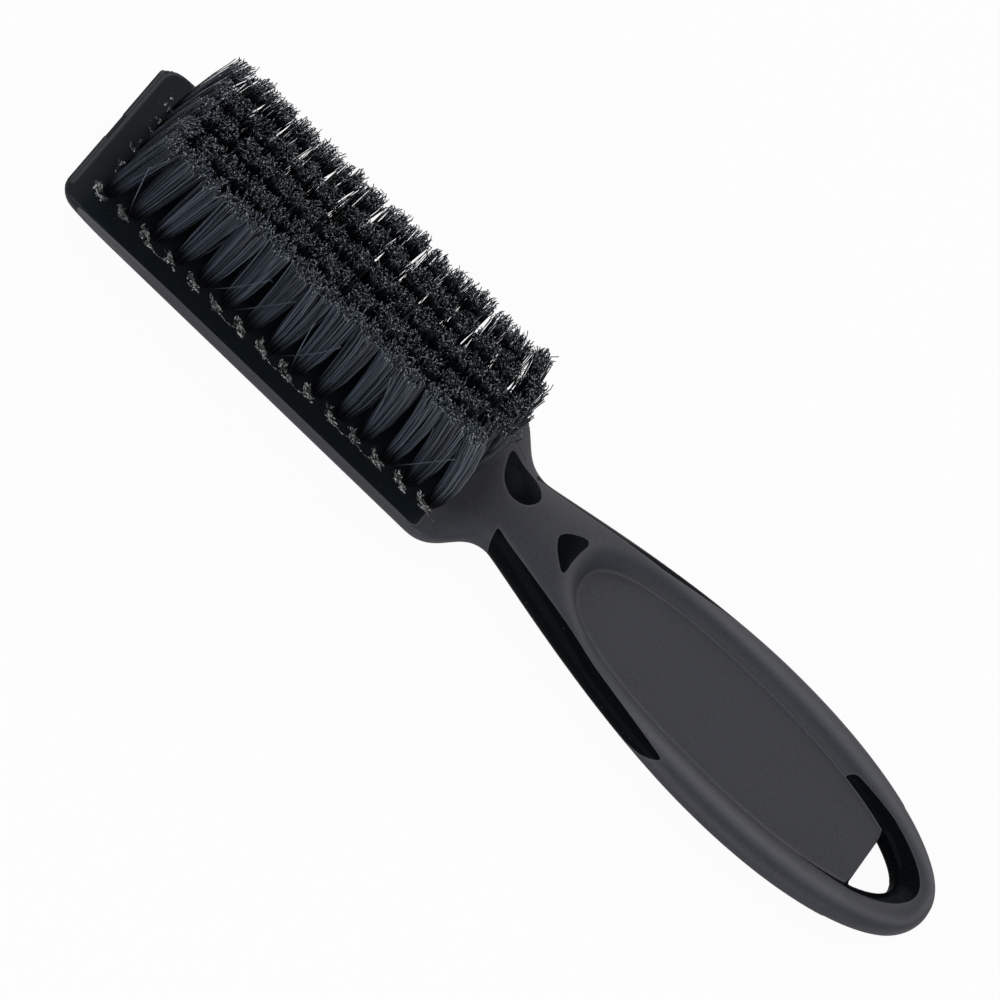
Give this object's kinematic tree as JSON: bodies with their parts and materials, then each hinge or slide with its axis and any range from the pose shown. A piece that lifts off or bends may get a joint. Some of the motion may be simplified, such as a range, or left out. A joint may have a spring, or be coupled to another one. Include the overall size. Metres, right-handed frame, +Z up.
{
  "type": "fade brush",
  "caption": "Barber's fade brush: a slim gloss handle with a soft rubber grip, an oval recess, a hang hole at the tip and a straight head of upright black nylon tufts.",
  "frame": {"origin": "under the middle of the brush's length and width, on the plane that its back rests on", "axes": "+X from the head's end to the handle's tip, +Y across the brush, +Z up along the bristles, out of the head's face"},
  "size_m": [0.203, 0.0378, 0.0317],
  "materials": {
    "gloss_plastic": "gloss",
    "rubber": "matte soft touch",
    "bristle": "satin nylon"
  },
  "bodies": {
    "root": {"body": "gloss_plastic", "grip": "rubber", "tuft_row_01": "bristle", "tuft_row_02": "bristle", "tuft_row_03": "bristle", "tuft_row_04": "bristle", "tuft_row_05": "bristle", "tuft_row_06": "bristle", "tuft_row_07": "bristle", "tuft_row_08": "bristle", "tuft_row_09": "bristle", "tuft_row_10": "bristle", "tuft_row_11": "bristle", "tuft_row_12": "bristle", "tuft_row_13": "bristle", "tuft_row_14": "bristle", "tuft_row_15": "bristle"}
  },
  "joints": []
}
